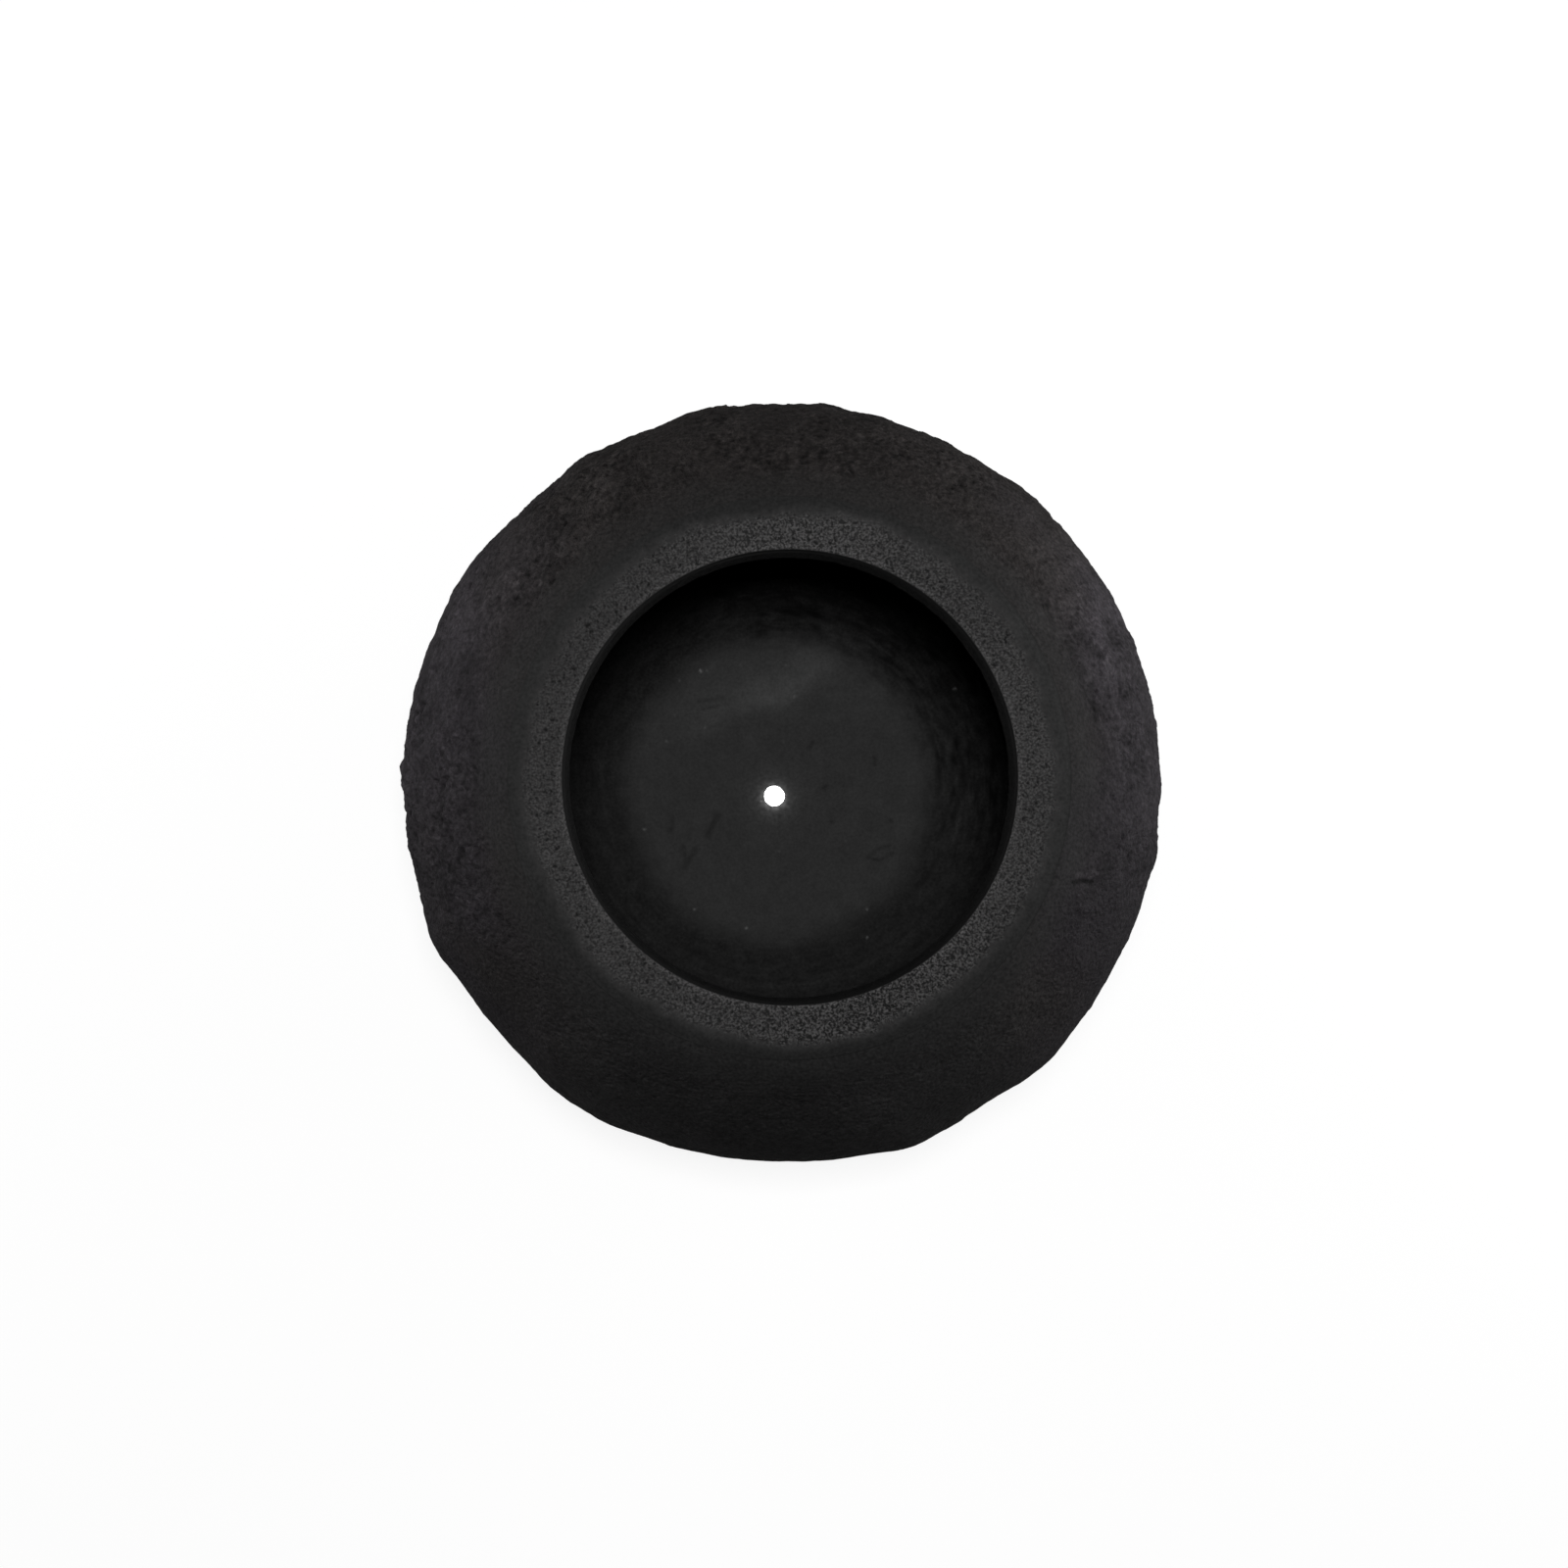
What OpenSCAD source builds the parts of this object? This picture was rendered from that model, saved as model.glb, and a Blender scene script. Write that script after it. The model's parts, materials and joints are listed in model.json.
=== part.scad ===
// A round garden bowl planter: a hollow body with a squat, full belly and a drain hole
// in its floor, and a flat ring bedded on the shoulder round the mouth.
// Millimetres, +Z up, origin at the centre of the face that the bowl rests on.

/* [Body] */
// Widest diameter, over the highest lumps of the hand-worked belly
body_d = 456; // [440:2:470]
// Radius of the belly's curve, seen in section
belly_r = 131; // [128:1:134]
// Height of the widest line above the resting face
belly_z = 128.5; // [127:0.5:130]
// Greatest thickness of the wall, at the belly
wall_t = 20; // [16:1:24]
// Thickness of the floor
floor_t = 14; // [10:1:18]
// Diameter of the flat part of the floor inside
floor_d = 188; // [170:2:200]

/* [Ring and mouth] */
// Overall height, up to the ring's flat top
height = 250; // [248:1:252]
// Diameter of the mouth at the ring's top
mouth_d = 250; // [240:1:260]
// Width of the ring, from the mouth to its outer edge
ring_w = 30; // [27:0.5:32]
// Thickness of the ring
ring_t = 4; // [3:0.5:5]
// Radius of the roll by which the ring's top runs out to the shoulder
ring_round = 18.5; // [16:0.5:21]
// Bevel of the edge where the ring's top meets the mouth
mouth_bevel = 1.5; // [0.5:0.5:2.5]
// Angle by which the mouth narrows downwards
mouth_lean = 18; // [12:1:22]

/* [Drain hole] */
// Diameter of the drain hole
drain_d = 13.5; // [8:0.5:24]
// Place of the drain hole along X, a little off the bowl's axis
drain_x = -2; // [-6:0.5:6]
// Place of the drain hole along Y
drain_y = -3.5; // [-6:0.5:6]

/* [Hidden] */

// Segments of a round surface
facets = 128;
// A cutter runs this far past the faces that it opens
over = 1;

// Distance from the axis to the centre of the belly's curve
belly_x = body_d / 2 - belly_r;
// The cavity's curve: its centre is above the edge of the flat floor, which it meets smoothly
cavity_x = floor_d / 2;
cavity_r = body_d / 2 - wall_t - cavity_x;
cavity_z = floor_t + cavity_r;
// The flat seat on which the ring is bedded
seat_z = height - ring_t;
ring_r = mouth_d / 2 + ring_w;
// Where the ring's flat top ends and its roll begins
ring_flat_r = ring_r - sqrt(pow(ring_round, 2) - pow(ring_round - ring_t, 2));

// Radius of the mouth at a height: it narrows downwards from the ring's top
function mouth_r(z) = mouth_d / 2 - (height - z) * tan(mouth_lean);

// Height at which the mouth's cone comes out into the cavity
cone_foot_z = cavity_z + sqrt(pow(cavity_r, 2) - pow(mouth_r(seat_z) - cavity_x, 2)) - 2 * over;

// Half section of a squat round: a disc with its centre off the axis, filled in to the axis
module squat_section(r, x, z) {
    translate([x, z])
        intersection() {
            circle(r = r, $fn = facets);
            translate([0, -r]) square([r, 2 * r]);
        }
    translate([0, z - r]) square([x, 2 * r]);
}

// Half section of the mouth, from below the lip to above the ring
module mouth_section() {
    polygon([
        [0, cone_foot_z],
        [mouth_r(cone_foot_z), cone_foot_z],
        [mouth_r(height + over), height + over],
        [0, height + over]
    ]);
}

module bowl_body() {
    color("#262425")
        difference() {
            rotate_extrude($fn = facets)
                difference() {
                    intersection() {
                        squat_section(belly_r, belly_x, belly_z);
                        square([body_d / 2, seat_z]);
                    }
                    squat_section(cavity_r, cavity_x, cavity_z);
                    mouth_section();
                }
            translate([drain_x, drain_y, -over])
                cylinder(d = drain_d, h = floor_t + 2 * over, $fn = 64);
        }
}

module rim_ring() {
    color("#373636")
        rotate_extrude($fn = facets)
            difference() {
                union() {
                    translate([0, seat_z]) square([ring_flat_r, ring_t]);
                    intersection() {
                        translate([ring_flat_r, height - ring_round])
                            circle(r = ring_round, $fn = facets);
                        translate([ring_flat_r, seat_z]) square([ring_round, ring_t]);
                    }
                }
                mouth_section();
                polygon([
                    [0, height - mouth_bevel],
                    [mouth_r(height - mouth_bevel), height - mouth_bevel],
                    [mouth_d / 2 + mouth_bevel, height],
                    [0, height]
                ]);
            }
}

bowl_body();
rim_ring();
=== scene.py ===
"""A squat black garden bowl planter of fibre clay, seen straight down its mouth.

Two detailed meshes stand for the two CAD nodes: the hollow body, hand-worked and pitted outside and
trowelled inside, and the gritty ring round its mouth. Lengths in the mesh code are in millimetres."""

import copy
import itertools
import json
import math

import bpy
import numpy as np
from mathutils import Matrix, Vector

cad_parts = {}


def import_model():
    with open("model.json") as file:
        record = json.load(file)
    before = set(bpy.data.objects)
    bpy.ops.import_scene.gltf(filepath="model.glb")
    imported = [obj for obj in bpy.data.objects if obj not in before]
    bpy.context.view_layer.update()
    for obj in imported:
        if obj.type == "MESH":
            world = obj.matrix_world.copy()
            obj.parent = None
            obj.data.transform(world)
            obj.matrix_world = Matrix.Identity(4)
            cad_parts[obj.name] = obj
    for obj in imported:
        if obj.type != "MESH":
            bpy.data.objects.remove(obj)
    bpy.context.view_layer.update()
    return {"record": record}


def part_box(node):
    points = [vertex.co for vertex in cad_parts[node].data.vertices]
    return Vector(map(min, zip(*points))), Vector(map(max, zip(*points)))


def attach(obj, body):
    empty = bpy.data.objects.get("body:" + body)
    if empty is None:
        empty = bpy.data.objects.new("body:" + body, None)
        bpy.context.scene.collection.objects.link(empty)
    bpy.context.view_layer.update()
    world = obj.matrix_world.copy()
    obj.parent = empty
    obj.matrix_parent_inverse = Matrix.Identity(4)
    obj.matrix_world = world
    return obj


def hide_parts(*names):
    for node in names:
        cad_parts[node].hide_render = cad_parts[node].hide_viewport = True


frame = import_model()

# ---------------------------------------------------------------- sizes, from the frame and in mm
MM = 0.001
body_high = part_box("bowl_body")[1] / MM
ring_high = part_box("rim_ring")[1] / MM
mounts = {mount["name"]: mount for mount in frame["record"]["mounts"]}
drain = mounts["drain_hole"]

BELLY_R = body_high.x                       # widest radius
SEAT_Z = body_high.z                        # where the ring is bedded on the body
TOP_Z = ring_high.z                         # the ring's flat top
RING_R = ring_high.x
DRAIN_R = drain["dims"]["r_mm"]
DRAIN_AT = np.array(drain["pos_m"][:2]) / MM
FLOOR_Z = drain["dims"]["length_mm"]        # the floor's thickness, so its height above the base

BELLY_CURVE = 131.0                         # radius of the belly's curve in section
BELLY_Z = 128.5                             # height of the belly's widest line
CAVITY_CURVE = 114.0                        # radius of the cavity's curve in section
FLAT_R = 94.0                               # flat part of the floor, with the cavity's curve centred on it
MOUTH_R = 125.0                             # mouth, at the ring's top
MOUTH_LEAN = math.tan(math.radians(18))     # the mouth narrows by this much of its depth
LIP_Z = 238.7                               # where the mouth ends in the undercut cavity

# Ridges on the belly: (degrees round from +X, height in mm, spread in degrees)
PROUD = (
    (-10, 1.4, 4), (-47, 3.6, 8), (-70, 4.0, 6), (-118, 2.6, 7), (-127, 2.6, 5), (-156, 4.0, 6),
    (145, 2.2, 5), (121, 2.6, 4), (102, 3.0, 4), (85, 1.6, 5), (48, 1.8, 3), (22, 1.2, 3),
)
# Pale bloom on the belly, partly the clay's own and partly painted light on the sides the lamps strike:
# (degrees round from +X, strength, spread in degrees)
BLOOM_AND_PAINTED_LIGHT = ((29, 0.95, 15), (152, 0.85, 12), (178, 0.55, 12), (2, 0.55, 12), (56, 0.15, 12))

# Patches of the ring: (degrees round from +X, spread in degrees, how much coarser, how much lighter)
RING_PATCHES = ((-68, 40, 0.6, 0.10), (90, 24, 0.35, 0.30), (145, 28, -0.1, -0.16), (45, 25, 0.1, 0.0))

# Marks on the floor, in mm from the bowl's axis
SMEAR = ((-60, 35), (-47, 43), (-30, 53), (-11, 58), (4, 60), (13, 67), (23, 76), (34, 82))
SMEAR_TONE = (0.14, 0.38, 0.40, 0.80, 0.80, 0.60, 0.55, 0.25)
# Dark nicks, each as a scratch from one place to another and its width
NICKS = (
    ((22.5, 31), (20.5, 27), 1.3), ((62, 21), (62.6, 16.5), 1.3), ((29, 1.6), (31, 2.8), 1.6),
    ((34.3, -19.7), (34.8, -20.3), 1.3), ((72, -19.5), (73, -20), 1.2), ((-38, -16), (-45, -29), 1.8),
    ((-53, -38), (-60, -50), 1.9), ((-60, -36), (-59, -45), 1.2), ((-51, 57), (-35, 58.5), 1.1),
    ((-48, 52), (-38, 54), 1.0), ((-67, -17), (-68, -26), 1.2), ((57, -43), (64, -38), 0.9),
    ((64, -38), (72, -35), 0.9), ((57, -43), (65, -45), 0.9), ((65, -45), (74, -40), 0.9),
)
# Gouges in the belly, as scratches from one place to another: 1 for a pale raised edge, -1 for a cut
GOUGES = (
    ((161, -54.5), (171, -56), 1), ((163, -57.5), (172, -58.5), -1), ((172, -53), (175, -54), 1),
    ((158, -58), (160, -58.5), -1),
)
# Pale specks of sand: place and strength
SPECKS = (
    (-49.4, 76.3, 5), (-45.3, 76.3, 1), (113, 65, 6), (-71, 31, 1.5), (-85, -25, 3), (-53, -76, 2.5),
    (-20, -88, 3), (57, -94, 3), (10.7, 60, 1.6), (5, 80, 0.8), (-24, 80, 0.8), (-46.5, 40, 1.2),
    (-66, 48, 0.7), (-63, 70, 1), (4, 31, 0.5), (43, -32, 0.8), (1, -39, 0.8), (-10.5, -7, 5),
    (57, -76, 2),
)

# Lightness of the clay outside and inside, of the stage's floor, and the floor's glow to the camera; the
# inside's grey is raised above the outside's as painted light
OUTSIDE_GREY = 0.0278
INSIDE_GREY_WITH_PAINTED_LIGHT = 0.041
FLOOR_GREY = 0.3
FLOOR_GLOW = 0.85

# Lamps: name, place in metres, size in metres and watts
LAMPS = (
    ("overhead", (-0.02, 0.19, 2.6), (0.45, 0.45), 26.7),
    ("right", (1.5, 0.0, 0.25), (0.6, 0.3), 5.2),
    ("right_back", (1.3, 0.75, 0.25), (0.6, 0.3), 5.2),
    ("left", (-1.5, 0.0, 0.25), (0.6, 0.3), 3.0),
    ("left_back", (-1.3, 0.75, 0.25), (0.6, 0.3), 3.6),
)

ROUND = 1024         # points round the body, and half as many again round the ring
STEP = 1.25          # distance between rows of points along the section


# ---------------------------------------------------------------- noise
def hashed(cells, seed):
    """Three numbers from -1 to 1 for each whole-number cell, always the same for one seed."""
    c = cells.astype(np.int64).astype(np.uint64)
    mixed = (
        c[:, 0] * np.uint64(73856093)
        ^ c[:, 1] * np.uint64(19349663)
        ^ c[:, 2] * np.uint64(83492791)
        ^ np.uint64(seed * 2654435761 + 97)
    ) & np.uint64(0xFFFFFFFF)
    out = np.empty((len(c), 3))
    for k in range(3):
        mixed = ((mixed ^ (mixed >> np.uint64(15))) * np.uint64(2246822519)) & np.uint64(0xFFFFFFFF)
        mixed = ((mixed ^ (mixed >> np.uint64(13))) * np.uint64(3266489917)) & np.uint64(0xFFFFFFFF)
        mixed ^= mixed >> np.uint64(16)
        out[:, k] = (mixed & np.uint64(0xFFFFF)).astype(float) / 0x7FFFF - 1
    return out


def waves(points, size, seed):
    """Smooth noise, about -1 to 1, whose features are about size across."""
    p = points / size
    cell = np.floor(p)
    t = p - cell
    fade = t * t * t * (t * (t * 6 - 15) + 10)
    total = np.zeros(len(p))
    for corner in itertools.product((0.0, 1.0), repeat=3):
        corner = np.array(corner)
        weight = np.prod(np.where(corner > 0, fade, 1 - fade), axis=1)
        total += weight * ((t - corner) * hashed(cell + corner, seed)).sum(axis=1)
    return total * 1.5


def cells(points, size, seed):
    """Distance to the nearest of points scattered about size apart, as a share of size."""
    p = points / size
    home = np.floor(p)
    nearest = np.full(len(p), np.inf)
    for shift in itertools.product((-1.0, 0.0, 1.0), repeat=3):
        there = home + np.array(shift)
        nearest = np.minimum(nearest, np.linalg.norm(there + 0.5 + 0.45 * hashed(there, seed) - p, axis=1))
    return nearest


def smooth(x, start, end):
    """0 up to start and 1 from end on, with a smooth change between them."""
    t = np.clip((x - start) / (end - start), 0, 1)
    return t * t * (3 - 2 * t)


def apart(degrees, centre):
    """How far directions are from a centre, the shorter way round, in degrees."""
    return np.abs((degrees - centre + 180) % 360 - 180)


# ---------------------------------------------------------------- turned meshes
def line(start, end, step):
    """Points from start up to but not including end, as (radius, height)."""
    count = max(1, round(math.dist(start, end) / step))
    return [
        (start[0] + (end[0] - start[0]) * k / count, start[1] + (end[1] - start[1]) * k / count)
        for k in range(count)
    ]


def arc(centre, radii, start, end, step):
    """Points along an ellipse's arc from start up to, but not including, end: degrees from out to up."""
    count = max(1, round(abs(math.radians(end - start)) * max(radii) / step))
    turns = [math.radians(start + (end - start) * k / count) for k in range(count)]
    return [(centre[0] + radii[0] * math.cos(t), centre[1] + radii[1] * math.sin(t)) for t in turns]


class Turned:
    """A closed section turned about Z: rows of points, with fewer points where the rows are small."""

    def __init__(self, section, full, coarse=()):
        self.section = np.array(section)
        before = np.roll(self.section, 1, axis=0)
        after = np.roll(self.section, -1, axis=0)
        along = after - before
        along /= np.linalg.norm(along, axis=1)[:, None]
        counts = [full >> sum(r < limit for limit in coarse) for r, _ in section]
        self.counts = counts
        self.starts = np.concatenate([[0], np.cumsum(counts)])
        row = np.repeat(np.arange(len(counts)), counts)
        turn = np.concatenate([np.arange(n) * (2 * math.pi / n) for n in counts])
        self.row, self.turn = row, turn
        self.r, self.z = self.section[row].T
        self.out = np.column_stack([np.cos(turn), np.sin(turn)])
        self.co = np.column_stack([self.r[:, None] * self.out, self.z])
        outward = np.column_stack([along[:, 1], -along[:, 0]])[row]
        self.normal = np.column_stack([outward[:, :1] * self.out, outward[:, 1]])

    def where(self, picked):
        """The same points, but only those that are picked."""
        part = copy.copy(self)
        for name in ("turn", "r", "z", "out", "co", "normal"):
            setattr(part, name, getattr(self, name)[picked])
        return part

    def faces(self):
        """All faces: quads between rows of as many points, triangles where one row has twice as many."""
        quads, triangles = [], []
        rows = len(self.counts)
        for a in range(rows):
            b = (a + 1) % rows
            na, nb = self.counts[a], self.counts[b]
            ja = self.starts[a] + np.arange(na)
            jb = self.starts[b] + np.arange(nb)
            if na == nb:
                quads.append(np.column_stack([ja, np.roll(ja, -1), np.roll(jb, -1), jb]))
            elif na < nb:
                even, odd, last = jb[0::2], jb[1::2], np.roll(jb, -2)[0::2]
                triangles += [
                    np.column_stack([ja, odd, even]),
                    np.column_stack([ja, np.roll(ja, -1), odd]),
                    np.column_stack([np.roll(ja, -1), last, odd]),
                ]
            else:
                even, odd, last = ja[0::2], ja[1::2], np.roll(ja, -2)[0::2]
                triangles += [
                    np.column_stack([jb, even, odd]),
                    np.column_stack([jb, odd, np.roll(jb, -1)]),
                    np.column_stack([np.roll(jb, -1), odd, last]),
                ]
        return [f for group in quads + triangles for f in group.tolist()]


def make_mesh(name, turned, points, attributes, material, node):
    """The finished piece: it replaces a CAD node and rides on the one body."""
    mesh = bpy.data.meshes.new(name)
    mesh.from_pydata((points * MM).tolist(), [], turned.faces())
    for key, values in attributes.items():
        mesh.attributes.new(key, "FLOAT", "POINT").data.foreach_set("value", values.astype(np.float32))
    mesh.materials.append(material)
    mesh.validate()
    mesh.shade_smooth()
    mesh.set_sharp_from_angle(angle=math.radians(70))
    piece = bpy.data.objects.new(name, mesh)
    bpy.context.scene.collection.objects.link(piece)
    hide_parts(node)
    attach(piece, "root")
    return piece


# ---------------------------------------------------------------- the hollow body
def mouth_r(z):
    """The mouth's radius at a height: it narrows downwards from the ring's top."""
    return MOUTH_R - (TOP_Z - z) * MOUTH_LEAN


def body_section():
    """Once round the body's section: base, belly, seat, lip, cavity, floor and the drain hole's wall."""
    belly = (BELLY_R - BELLY_CURVE, BELLY_Z)
    foot = math.asin(-BELLY_Z / BELLY_CURVE)
    seat = math.asin((SEAT_Z - BELLY_Z) / BELLY_CURVE)
    by_seat = seat - 0.1 / BELLY_CURVE      # so that the seat's corner shades only a hair's breadth
    foot_r, seat_r = (belly[0] + BELLY_CURVE * math.cos(turn) for turn in (foot, seat))
    cavity_z = FLOOR_Z + CAVITY_CURVE
    lip = math.acos((mouth_r(LIP_Z) + 1.0 - FLAT_R) / CAVITY_CURVE)
    lip_foot = (FLAT_R + CAVITY_CURVE * math.cos(lip), cavity_z + CAVITY_CURVE * math.sin(lip))
    chip = 0.8                              # broken edge of the drain hole
    fine_r = DRAIN_R + 16                   # finer rows within this, where the floor is most marked
    return (
        line((DRAIN_R, 0), (foot_r, 0), STEP)
        + arc(belly, (BELLY_CURVE, BELLY_CURVE), math.degrees(foot), math.degrees(by_seat), STEP)
        + arc(belly, (BELLY_CURVE, BELLY_CURVE), math.degrees(by_seat), math.degrees(seat), STEP)
        + line((seat_r, SEAT_Z), (mouth_r(SEAT_Z), SEAT_Z), STEP * 2)
        + line((mouth_r(SEAT_Z), SEAT_Z), (mouth_r(LIP_Z), LIP_Z), 0.8)
        + line((mouth_r(LIP_Z), LIP_Z - 0.3), lip_foot, 0.5)
        + arc((FLAT_R, cavity_z), (CAVITY_CURVE, CAVITY_CURVE), math.degrees(lip), -90, STEP)
        + line((FLAT_R, FLOOR_Z), (fine_r, FLOOR_Z), STEP)
        + line((fine_r, FLOOR_Z), (DRAIN_R + chip, FLOOR_Z), STEP / 2)
        + line((DRAIN_R + chip, FLOOR_Z), (DRAIN_R, FLOOR_Z - chip), 0.5)
        + line((DRAIN_R, FLOOR_Z - chip), (DRAIN_R, 0), STEP)
    )


def proud_places(turned):
    """The places where the maker's hand left the belly proud, as blunt upright ridges a few mm high."""
    az = np.degrees(turned.turn) + (turned.z - BELLY_Z) * 0.09 * waves(turned.co, 150, 20)
    az += 2.0 * waves(turned.co, 45, 21)
    total = np.zeros(len(az))
    for centre, height, spread in PROUD:
        total += height * np.exp(-((apart(az, centre) / spread) ** 1.6))
    return total * np.exp(-(((turned.z - BELLY_Z) / 75) ** 2))


def wildness(co):
    """How rough the belly is: calmer towards -Y, where the hand smoothed it longer."""
    return 0.4 + 0.95 * smooth(co[:, 1] + 0.1 * np.abs(co[:, 0]) + 30 * waves(co, 80, 13), -100, 20)


def curled(co):
    """1 along small broken loops, as a finger tip leaves in stiff clay, and 0 elsewhere."""
    near = cells(co + 1.5 * waves(co, 9, 34)[:, None], 15, 35)
    loop = 1 - smooth(np.abs(near - 0.27), 0.03, 0.09)
    broken = smooth(waves(co, 6, 36), -0.15, 0.1)
    return loop * broken * smooth(waves(co, 60, 37) - co[:, 0] / 500, -0.05, 0.3)


def gouged(co, width):
    """From -1 in the gouges on the belly to 1 on the pale edges that they threw up."""
    total = np.zeros(len(co))
    for start, end, side in GOUGES:
        total += side * np.exp(-(from_scratch(co, start, end) / width) ** 2)
    return total * (co[:, 2] > BELLY_Z)


def hand_worked(turned):
    """Relief of the outside, in mm from the CAD outline and never beyond it, and how rough the skin is."""
    co, r, z = turned.co, turned.r, turned.z
    edge = r + 5 * waves(co, 26, 11)
    rough = np.where(z > BELLY_Z, smooth(edge, RING_R + 4, RING_R + 26), 1.0) * smooth(z, 4, 30)
    rounded = smooth(z, 0, 40) * np.where(z > BELLY_Z, smooth(r, RING_R, RING_R + 30), 1.0)
    slow = 0.9 * waves(co, 130, 1) + 0.9 * waves(co, 66, 2)
    bent = co + 6 * np.column_stack([waves(co, 30, 31), waves(co, 30, 32), waves(co, 30, 33)])
    near = cells(bent, 34, 3)
    pressed = 1.8 * (near * near - 0.28)
    lumps = 0.9 * waves(bent, 17, 4) + 0.55 * waves(bent, 8.5, 5)
    skin = 0.36 * waves(co, 4.2, 6) + 0.28 * waves(co, 2.8, 7)
    patchy = smooth(waves(co, 34, 9), -0.2, 0.4)
    pits = 1.3 * smooth(waves(co, 4.2, 8), 0.40, 0.70) * patchy
    veins = 1 - smooth(np.abs(waves(bent, 13, 10)), 0.0, 0.10)
    creases = 0.9 * veins * smooth(waves(co, 48, 12), -0.1, 0.4) + 0.9 * curled(co) - 0.5 * gouged(co, 1.0)
    leaning = 0.9 * turned.out[:, 1]
    relief = rounded * (slow + pressed + leaning + proud_places(turned) - 4.5)
    patches = 0.6 + 0.7 * smooth(waves(co, 52, 14) + 0.5 * waves(co, 22, 15), -0.35, 0.45)
    patches += 0.5 * smooth(-co[:, 0] - np.abs(co[:, 1] + 15), 130, 195)
    relief += rough * wildness(co) * patches * (lumps + skin - pits - creases)
    blunt = 0.35
    sunk = math.log(2) * (1 - rounded) - np.log1p(np.exp(-relief / blunt))
    return np.minimum(blunt * sunk, 0) - 0.02 * rounded, rough


def from_scratch(co, start, end):
    """Distance in plan from a straight scratch."""
    start, along = np.array(start, float), np.subtract(end, start)
    t = np.clip((co[:, :2] - start) @ along / (along @ along), 0, 1)
    return np.linalg.norm(co[:, :2] - start - t[:, None] * along, axis=1)


def nicked(co):
    """1 in the floor's nicks and 0 elsewhere."""
    return np.max([np.exp(-(from_scratch(co, a, b) / width) ** 2) for a, b, width in NICKS], axis=0)


def speckled(co):
    """Strength of the pale specks, each about 1.5 mm across."""
    size = 0.75
    total = np.zeros(len(co))
    for x, y, strength in SPECKS:
        total += strength * np.exp(-((co[:, 0] - x) ** 2 + (co[:, 1] - y) ** 2) / size ** 2)
    return total


def smear_tone(co):
    """How much lighter the floor is along a dragged smear: soft outwards, sharper inwards."""
    best = np.full(len(co), 1e9)
    tone = np.zeros(len(co))
    ends = list(zip(SMEAR, SMEAR_TONE))
    for (a, tone_a), (b, tone_b) in zip(ends, ends[1:]):
        a, b = np.array(a, float), np.array(b, float)
        along = b - a
        t = np.clip((co[:, :2] - a) @ along / (along @ along), 0, 1)
        off = co[:, :2] - a - t[:, None] * along
        above = off @ np.array([-along[1], along[0]]) > 0
        far = np.linalg.norm(off, axis=1) / np.where(above, 15.0, 7.0)
        better = far < best
        best = np.where(better, far, best)
        tone = np.where(better, tone_a + (tone_b - tone_a) * t, tone)
    return tone * np.exp(-(best ** 2)) * (1 + 0.45 * waves(co, 7, 61) + 0.3 * waves(co, 3.2, 62))


def trowelled(turned):
    """Relief of the inside: faint rings left by the trowel, soft waves, brushing on the wall and nicks."""
    co, r, z = turned.co, turned.r, turned.z
    along = np.column_stack([turned.out * 14, r * 0.7 + z])
    rings = 0.10 * waves(along, 5, 41) + 0.07 * waves(along, 2.4, 42)
    soft = 0.35 * waves(co, 48, 43) + 0.12 * waves(co, 15, 44)
    brushed = 0.28 * waves(co + 8 * waves(co, 20, 45)[:, None], 6, 46) * smooth(r, FLAT_R - 8, FLAT_R + 8)
    return rings + soft + brushed - 0.5 * nicked(co) * (z < FLOOR_Z + 8)


def inside_tone(turned, co):
    """Lightness of the clay inside, as a share of the plain floor's, with painted shade on the wall and a
    painted glow round the drain hole.
    """
    r, z = turned.r, turned.z
    edge = r + 4 * waves(co, 34, 63) + 2 * waves(co, 11, 60)
    wall = smooth(edge, FLAT_R - 10, FLAT_R + 14)
    swirl = waves(np.column_stack([turned.out * 30, r * 1.1 + z]), 7, 64)
    streaks = waves(np.column_stack([turned.out * 45, r * 1.4 + z]), 3.5, 69)
    lively = 0.5 + smooth(co[:, 0] * 0.8 + co[:, 1], 20, 110)
    floor_tone = 1 + smear_tone(co) + 0.10 * smooth(co[:, 1], 35, 75) + 0.06 * waves(co, 26, 65)
    floor_tone += 0.06 * waves(co, 9, 59) + 0.07 * streaks
    floor_tone -= 0.38 * nicked(co)
    brushed = lively * (0.18 * swirl + 0.22 * streaks + 0.09 * waves(co, 7, 66))
    # the wall is painted about a third as light as the floor: painted shade cast by the mouth, with the
    # brushing marks on it
    wall_tone_with_painted_shade = 0.33 + brushed + 0.04 * waves(co, 30, 67)
    foot_mark = np.exp(-((r - FLAT_R - 31 + 1.5 * waves(co, 40, 38)) / 0.9) ** 2)
    wall_tone_with_painted_shade += 0.10 * foot_mark * smooth(-co[:, 1], 40, 90)
    tone = floor_tone + (wall_tone_with_painted_shade - floor_tone) * wall
    # round the drain hole the floor is painted much lighter, more on one side: a painted glow of the light
    # that shines up through the hole
    from_hole = np.linalg.norm(co[:, :2] - DRAIN_AT, axis=1)
    toward = (co[:, :2] - DRAIN_AT) @ np.array([-0.4, -0.9]) / (from_hole + 0.01)
    away = np.maximum(from_hole - DRAIN_R, 0)
    painted_glow_round_hole = 6.0 * np.exp(-away / 1.3) + 1.8 * np.exp(-away / 5.5)
    tone += painted_glow_round_hole * (0.95 + 0.4 * toward) * (1 + 0.8 * waves(co, 2.8, 68))
    return tone + speckled(co) * (z < FLOOR_Z + 30)


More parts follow.
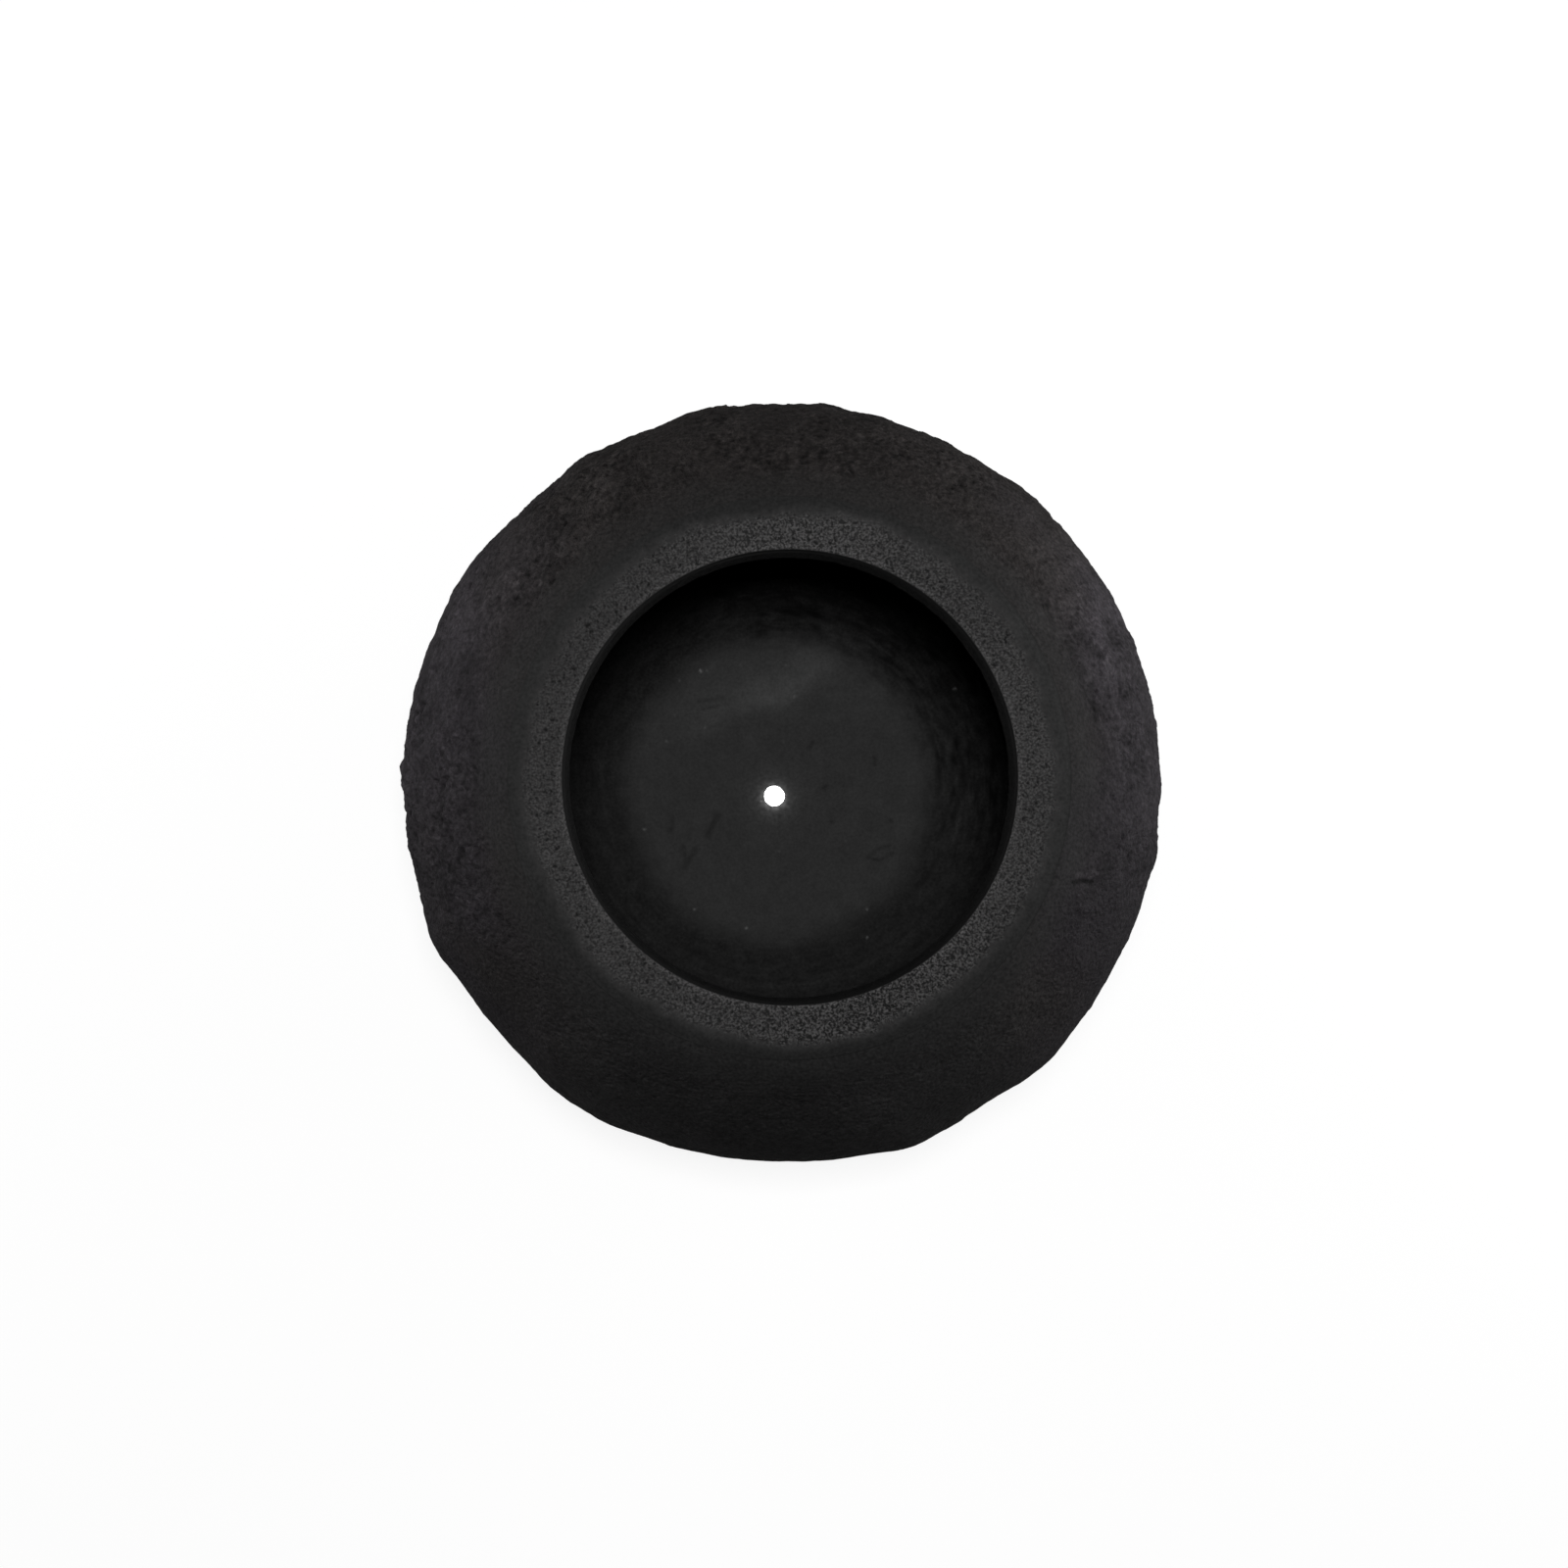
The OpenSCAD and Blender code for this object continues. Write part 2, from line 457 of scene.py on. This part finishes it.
def outside_tone(turned, relief, rough):
    """Lightness of the clay outside, as a share of the plain shoulder's."""
    co, r, z = turned.co, turned.r, turned.z
    az = np.degrees(turned.turn)
    # paler patches on the belly: partly the clay's bloom and partly painted light where the side lamps
    # fall
    bloom_and_painted_light = np.zeros(len(az))
    for centre, strength, spread in BLOOM_AND_PAINTED_LIGHT:
        bloom_and_painted_light += strength * np.exp(-((apart(az, centre) / spread) ** 2))
    bloom_and_painted_light *= np.where(z > BELLY_Z, smooth(r + 12 * waves(co, 22, 70), 174, 198), smooth(z, 20, BELLY_Z))
    broken = 0.75 + 0.9 * waves(co, 18, 71) + 0.7 * waves(co, 5, 72) + 1.1 * waves(co, 2.6, 80)
    mottle = 0.20 * waves(co, 26, 73) + 0.20 * waves(co, 7, 74) + 0.55 * waves(co, 3.0, 75)
    mottle += 0.5 * curled(co + 1.4 * turned.normal) - 0.3 * curled(co)
    # the deepest hollows of the belly are darkened: painted shade
    painted_shade_in_hollows = smooth(-relief, 4.0, 7.0)
    plain = 0.09 * waves(co, 20, 76) + 0.10 * waves(co, 5, 79)
    mottle *= wildness(co) * (0.6 + 0.8 * smooth(waves(co, 52, 14), -0.3, 0.4))
    return 1 + rough * (mottle + bloom_and_painted_light * np.clip(broken, 0, 2) - 0.25 * painted_shade_in_hollows) + plain + gouged(co, 1.3)


def lip_painted_light(turned):
    """Lightness of the mouth's lip, as a share of the mean: painted light, lighter towards the upper left.
    """
    return 1 + 0.35 * np.cos(turned.turn - math.radians(125))


def bowl_body(material):
    """The hollow body as one mesh, with its relief and the tones that its material reads."""
    turned = Turned(body_section(), ROUND, (64, 32, 16))
    co, r, z = turned.co, turned.r, turned.z
    radial = (turned.normal[:, :2] * turned.out).sum(axis=1)
    outside = (radial > 0.02) & (r > 100) & ~((z > SEAT_Z - 0.01) & (r < RING_R))
    inside = ~outside & (z > 0.5) & (z < LIP_Z + 0.1) & (r > DRAIN_R + 0.5)
    outer, inner = turned.where(outside), turned.where(inside)
    move, rough, tone = np.zeros(len(r)), np.zeros(len(r)), np.ones(len(r))
    move[outside], rough[outside] = hand_worked(outer)
    move[inside] = trowelled(inner) * smooth(inner.r, DRAIN_R + 2, DRAIN_R + 14)
    points = co + turned.normal * move[:, None]
    ragged = 0.45 * waves(co, 5, 81) + 0.35 * waves(co, 1.8, 82)
    points[:, :2] += (ragged * (r < DRAIN_R + 1.5))[:, None] * turned.out
    plain_r = 60                            # beyond it the floor's rows are centred on the axis
    shift = smooth(plain_r - r, 0, plain_r - DRAIN_R)[:, None] * DRAIN_AT
    points[:, :2] += np.where(outside[:, None], 0.0, shift)
    tone[outside] = outside_tone(outer, move[outside], rough[outside])
    tone[~outside] = inside_tone(turned.where(~outside), points[~outside])
    lip = ~outside & (z > LIP_Z - 2)
    attributes = {
        "rough": np.where(outside, rough, smooth(r, FLAT_R, FLAT_R + 15)),
        "inside": (~outside).astype(float),
        # the lip's tone carries painted light, lighter towards the upper left
        "tone": np.where(lip, 0.36 * lip_painted_light(turned), np.clip(tone, 0.05, 10)),
        "warm": smooth(co[:, 1] + 1.3 * np.abs(co[:, 0]) + 60 * waves(co, 110, 77), -20, 170),
        "cold": smooth(np.abs(co[:, 0]) + 50 * waves(co, 60, 78), 110, 200),
    }
    return make_mesh("hollow_body", turned, points, attributes, material, "bowl_body")


# ---------------------------------------------------------------- the ring round the mouth
def ring_section():
    """Once round the ring's section, from the seat's inner edge up the lip and over the top."""
    bevel_w, bevel_h = 2.4, 1.6             # the worn inner edge
    roll = 18.5                             # radius of the outer edge's curve
    roll_end = math.acos(1 - (TOP_Z - SEAT_Z) / roll)
    flat_r = RING_R - roll * math.sin(roll_end)
    bevel_z = TOP_Z - bevel_h
    step = STEP / 2
    top = (
        line((mouth_r(SEAT_Z), SEAT_Z), (mouth_r(bevel_z), bevel_z), step)
        + arc((mouth_r(bevel_z) + bevel_w, bevel_z), (bevel_w, bevel_h), 180, 90, 0.4)
        + line((mouth_r(bevel_z) + bevel_w, TOP_Z), (flat_r, TOP_Z), step)
        + arc((flat_r, TOP_Z - roll), (roll, roll), 90, 90 - math.degrees(roll_end), step)
        + line((RING_R, SEAT_Z), (mouth_r(SEAT_Z), SEAT_Z), STEP * 2)
    )
    return top[::-1]


def rim_ring(material):
    """The ring as one mesh: ground and gritty on top, plain on the roll and on the lip."""
    turned = Turned(ring_section(), ROUND * 3 // 2)
    co, r, z = turned.co, turned.r, turned.z
    top = smooth(turned.normal[:, 2], 0.35, 0.95)
    edge = r + 1.6 * waves(co, 9, 50) + 3.2 * waves(co, 40, 55)
    ragged = edge + 4.5 * waves(co, 3.2, 49)
    gritty = top * (1 - smooth(ragged, RING_R - 14, RING_R - 6))
    ground = top * (1 - smooth(edge + 2.5 * waves(co, 3.2, 49), RING_R - 15, RING_R - 4))
    az = np.degrees(turned.turn)
    coarse = np.zeros(len(az))
    light = np.zeros(len(az))
    for centre, spread, coarser, lighter in RING_PATCHES:
        share = np.exp(-((apart(az, centre) / spread) ** 2))
        coarse += coarser * share
        light += lighter * share
    grit = waves(co, 1.45, 51) + 0.6 * waves(co, 2.4, 52)
    pits = smooth(grit, 0.25, 0.75)
    soft = 0.25 * waves(co, 70, 53) + 0.12 * waves(co, 18, 54) - 0.34
    move = smooth(z, SEAT_Z, SEAT_Z + 1.0) * (soft - gritty * 0.45 * pits)
    points = co + turned.normal * move[:, None]
    # the top is lighter along the mouth's rounded inner edge: partly wear and partly a painted highlight
    worn_edge_and_painted_highlight = top * (1 - smooth(r + 0.8 * waves(co, 12, 56), MOUTH_R + 1.5, MOUTH_R + 4.5))
    lip = 1 - smooth(turned.normal[:, 2], 0.35, 0.8)
    tone = 1 + light * ground + 0.30 * worn_edge_and_painted_highlight + 0.10 * waves(co, 45, 57) + 0.08 * waves(co, 9, 58)
    attributes = {
        "gritty": gritty,
        "ground": ground,
        "pits": pits * gritty,
        "lip": lip,
        "coarse": coarse,
        # the lip's tone carries painted light, lighter towards the upper left
        "tone": tone * (1 + lip * (lip_painted_light(turned) - 1)),
    }
    return make_mesh("mouth_ring", turned, points, attributes, material, "rim_ring")


# ---------------------------------------------------------------- materials
class Nodes:
    """A material's node tree, with a short way to add and link nodes."""

    def __init__(self, name):
        self.material = bpy.data.materials.new(name)
        self.material.use_nodes = True
        self.tree = self.material.node_tree
        self.shader = self.tree.nodes["Principled BSDF"]
        self.place = self.tree.nodes.new("ShaderNodeTexCoord").outputs["Object"]

    def link(self, value, socket):
        """Feeds a socket from another node's output, or sets it to a plain value."""
        if isinstance(value, bpy.types.NodeSocket):
            self.tree.links.new(value, socket)
        else:
            socket.default_value = value

    def add(self, kind, output, inputs, **settings):
        """Adds a node with its inputs and settings, and gives back one of its outputs."""
        node = self.tree.nodes.new(kind)
        for key, value in settings.items():
            setattr(node, key, value)
        for key, value in inputs.items():
            self.link(value, node.inputs[key])
        return node.outputs[output]

    def noise(self, size, detail=4.0, place=None, **inputs):
        """Noise from 0 to 1, whose features are about size mm across."""
        settings = {"Vector": place or self.place, "Scale": 1 / (size * MM), "Detail": detail, **inputs}
        return self.add("ShaderNodeTexNoise", "Fac", settings)

    def attribute(self, name):
        """A value stored at the mesh's points."""
        return self.add("ShaderNodeAttribute", "Fac", {}, attribute_name=name)

    def ramp(self, value, low, high, start=0.0, end=1.0):
        """value, from low..high to start..end, clamped."""
        inputs = {"Value": value, "From Min": low, "From Max": high, "To Min": start, "To Max": end}
        return self.add("ShaderNodeMapRange", "Result", inputs)

    def math(self, operation, a, b=0.0):
        """A sum, product or other operation on two values."""
        return self.add("ShaderNodeMath", 0, {0: a, 1: b}, operation=operation)

    def mix(self, share, a, b, blend="MIX"):
        """Colour a turning to colour b as share goes from 0 to 1."""
        inputs = {0: share, 6: a, 7: b}
        return self.add("ShaderNodeMix", 2, inputs, data_type="RGBA", blend_type=blend)

    def scaled(self, colour, share):
        """A colour times a value."""
        as_colour = self.add("ShaderNodeCombineColor", 0, {0: share, 1: share, 2: share})
        return self.mix(1.0, colour, as_colour, "MULTIPLY")

    def bump(self, height, distance, strength=1.0, normal=None):
        """A normal tilted by a height from 0 to 1, which stands for distance in mm."""
        inputs = {"Height": height, "Distance": distance * MM, "Strength": strength}
        if normal is not None:
            inputs["Normal"] = normal
        return self.add("ShaderNodeBump", "Normal", inputs)


def grey(level, red=1.0, green=1.0, blue=1.0):
    """A grey as a colour, with an optional tint."""
    return (level * red, level * green, level * blue, 1.0)


def body_material():
    """Matt black clay: tinted and lumpy outside, plainer and smoother inside."""
    n = Nodes("matt_black_fibre_clay")
    rough, inside = n.attribute("rough"), n.attribute("inside")
    tinted = n.mix(n.attribute("warm"), grey(1.0, 1.0, 0.97, 0.985), grey(1.0, 1.08, 0.95, 0.93))
    tinted = n.mix(n.attribute("cold"), tinted, grey(1.0, 1.03, 0.92, 1.045))
    tinted = n.mix(n.ramp(rough, 0.0, 1.0, 0.4, 1.0), grey(1.0), tinted)
    # the inside is made lighter than the outside: painted light
    plain = n.mix(inside, grey(OUTSIDE_GREY), grey(INSIDE_GREY_WITH_PAINTED_LIGHT))
    colour = n.mix(1.0, plain, n.mix(inside, tinted, grey(1.0)), "MULTIPLY")
    grain = n.ramp(n.noise(1.8, 3), 0.3, 0.7, -1.0, 1.0)
    on_wall = n.math("MULTIPLY", n.math("MULTIPLY", inside, rough), 0.26)
    grain = n.math("MULTIPLY", grain, n.math("ADD", n.ramp(inside, 0.0, 1.0, 0.38, 0.16), on_wall))
    tone = n.math("MULTIPLY", n.math("ADD", grain, 1.0), n.attribute("tone"))
    n.link(n.scaled(colour, tone), n.shader.inputs["Base Color"])
    n.link(n.ramp(n.noise(9, 5), 0.3, 0.7, 0.66, 0.82), n.shader.inputs["Roughness"])
    outside_rough = n.math("MULTIPLY", rough, n.ramp(inside, 0.0, 1.0, 0.55, 0.0))
    strong = n.math("ADD", outside_rough, n.ramp(inside, 0.0, 1.0, 0.33, 0.15))
    skin = n.bump(n.noise(2.5, 4), 2.2, strong)
    n.link(n.bump(n.noise(0.9, 3), 0.3, 0.3, skin), n.shader.inputs["Normal"])
    n.shader.inputs["Specular IOR Level"].default_value = 0.15
    return n.material


def ring_material():
    """Ground clay on top with its grit open as dark specks, and plain clay elsewhere."""
    n = Nodes("ground_gritty_clay")
    gritty = n.attribute("gritty")
    grain = n.ramp(n.noise(1.3, 2), 0.36, 0.64, -1.0, 1.0)
    depth = n.math("MULTIPLY", n.math("ADD", n.math("MULTIPLY", n.attribute("coarse"), 0.6), 0.45), gritty)
    grain = n.math("ADD", n.math("MULTIPLY", grain, depth), 1.0)
    specks = n.math("MULTIPLY", n.ramp(n.noise(1.5, 1), 0.55, 0.63), gritty)
    specks = n.math("MULTIPLY", specks, n.math("ADD", n.attribute("coarse"), 0.5))
    dark = n.math("MAXIMUM", n.attribute("pits"), specks)
    ground = n.mix(dark, n.scaled(grey(0.064, 1.02, 0.995, 1.0), grain), grey(0.012))
    plain = n.scaled(grey(OUTSIDE_GREY), n.ramp(n.noise(1.8, 3), 0.3, 0.7, 0.7, 1.3))
    colour = n.mix(n.attribute("ground"), plain, ground)
    colour = n.mix(n.attribute("lip"), colour, grey(0.016))
    n.link(n.scaled(colour, n.attribute("tone")), n.shader.inputs["Base Color"])
    n.link(n.ramp(n.noise(3, 3), 0.3, 0.7, 0.68, 0.8), n.shader.inputs["Roughness"])
    n.link(n.bump(n.noise(1.1, 3), 0.3, 0.5), n.shader.inputs["Normal"])
    n.shader.inputs["Specular IOR Level"].default_value = 0.15
    return n.material


# ---------------------------------------------------------------- floor, light and camera
def floor():
    """A pale surface, lit from below under the drain hole so that the hole shows bright."""
    half = 30.0
    low = -0.3 * MM                         # just clear of the base, so that no two faces share a plane
    mesh = bpy.data.meshes.new("floor")
    corners = [(-half, -half, low), (half, -half, low), (half, half, low), (-half, half, low)]
    mesh.from_pydata(corners, [], [(0, 1, 2, 3)])
    n = Nodes("pale_floor")
    n.shader.inputs["Base Color"].default_value = grey(FLOOR_GREY)
    n.shader.inputs["Roughness"].default_value = 0.9
    n.shader.inputs["Specular IOR Level"].default_value = 0.1
    n.shader.inputs["Emission Color"].default_value = grey(1.0)
    seen = n.add("ShaderNodeLightPath", "Is Camera Ray", {})
    hole = (*(DRAIN_AT * MM), 0)
    from_hole = n.add("ShaderNodeVectorMath", "Value", {0: n.place, 1: hole}, operation="DISTANCE")
    under_hole = n.ramp(from_hole, 0.02, 0.03, 3.0, 0.0)
    glow = n.math("ADD", n.math("MULTIPLY", seen, FLOOR_GLOW), under_hole)
    n.link(glow, n.shader.inputs["Emission Strength"])
    mesh.materials.append(n.material)
    stage = bpy.data.objects.new("floor", mesh)
    bpy.context.scene.collection.objects.link(stage)


def softbox(name, place, size, watts):
    """A soft rectangular lamp turned to the bowl."""
    light = bpy.data.lights.new(name, "AREA")
    light.shape, light.size, light.size_y, light.energy = "RECTANGLE", size[0], size[1], watts
    lamp = bpy.data.objects.new(name, light)
    lamp.location = place
    lamp.rotation_euler = (Vector((0, 0, 0.15)) - lamp.location).to_track_quat("-Z", "Y").to_euler()
    bpy.context.scene.collection.objects.link(lamp)


def world(lit):
    """A white surround, which lights the bowl only a little."""
    scene = bpy.context.scene
    scene.world = bpy.data.worlds.new("studio")
    scene.world.use_nodes = True
    tree = scene.world.node_tree
    background = tree.nodes["Background"]
    background.inputs["Color"].default_value = grey(1.0)
    seen = tree.nodes.new("ShaderNodeLightPath").outputs["Is Camera Ray"]
    strength = tree.nodes.new("ShaderNodeMapRange")
    strength.inputs["To Min"].default_value = lit
    strength.inputs["To Max"].default_value = 1.0
    tree.links.new(seen, strength.inputs["Value"])
    tree.links.new(strength.outputs["Result"], background.inputs["Strength"])
    scene.view_settings.view_transform = "Standard"


def camera():
    """Looks almost straight down the mouth, from a little towards -X and -Y, with +Y up in the picture."""
    data = bpy.data.cameras.new("camera")
    data.sensor_width, data.lens = 36.0, 58.8
    cam = bpy.data.objects.new("camera", data)
    place, aim = Vector((-0.049, -0.0515, 1.65)), Vector((-0.0003, -0.0005, 0.147))
    back = (place - aim).normalized()
    right = Vector((0, 1, 0)).cross(back).normalized()
    turn = Matrix((right, back.cross(right), back)).transposed()
    cam.matrix_world = Matrix.Translation(place) @ turn.to_4x4()
    bpy.context.scene.collection.objects.link(cam)
    bpy.context.scene.camera = cam


bowl_body(body_material())
rim_ring(ring_material())
floor()
for lamp in LAMPS:
    softbox(*lamp)
world(0.0)
camera()
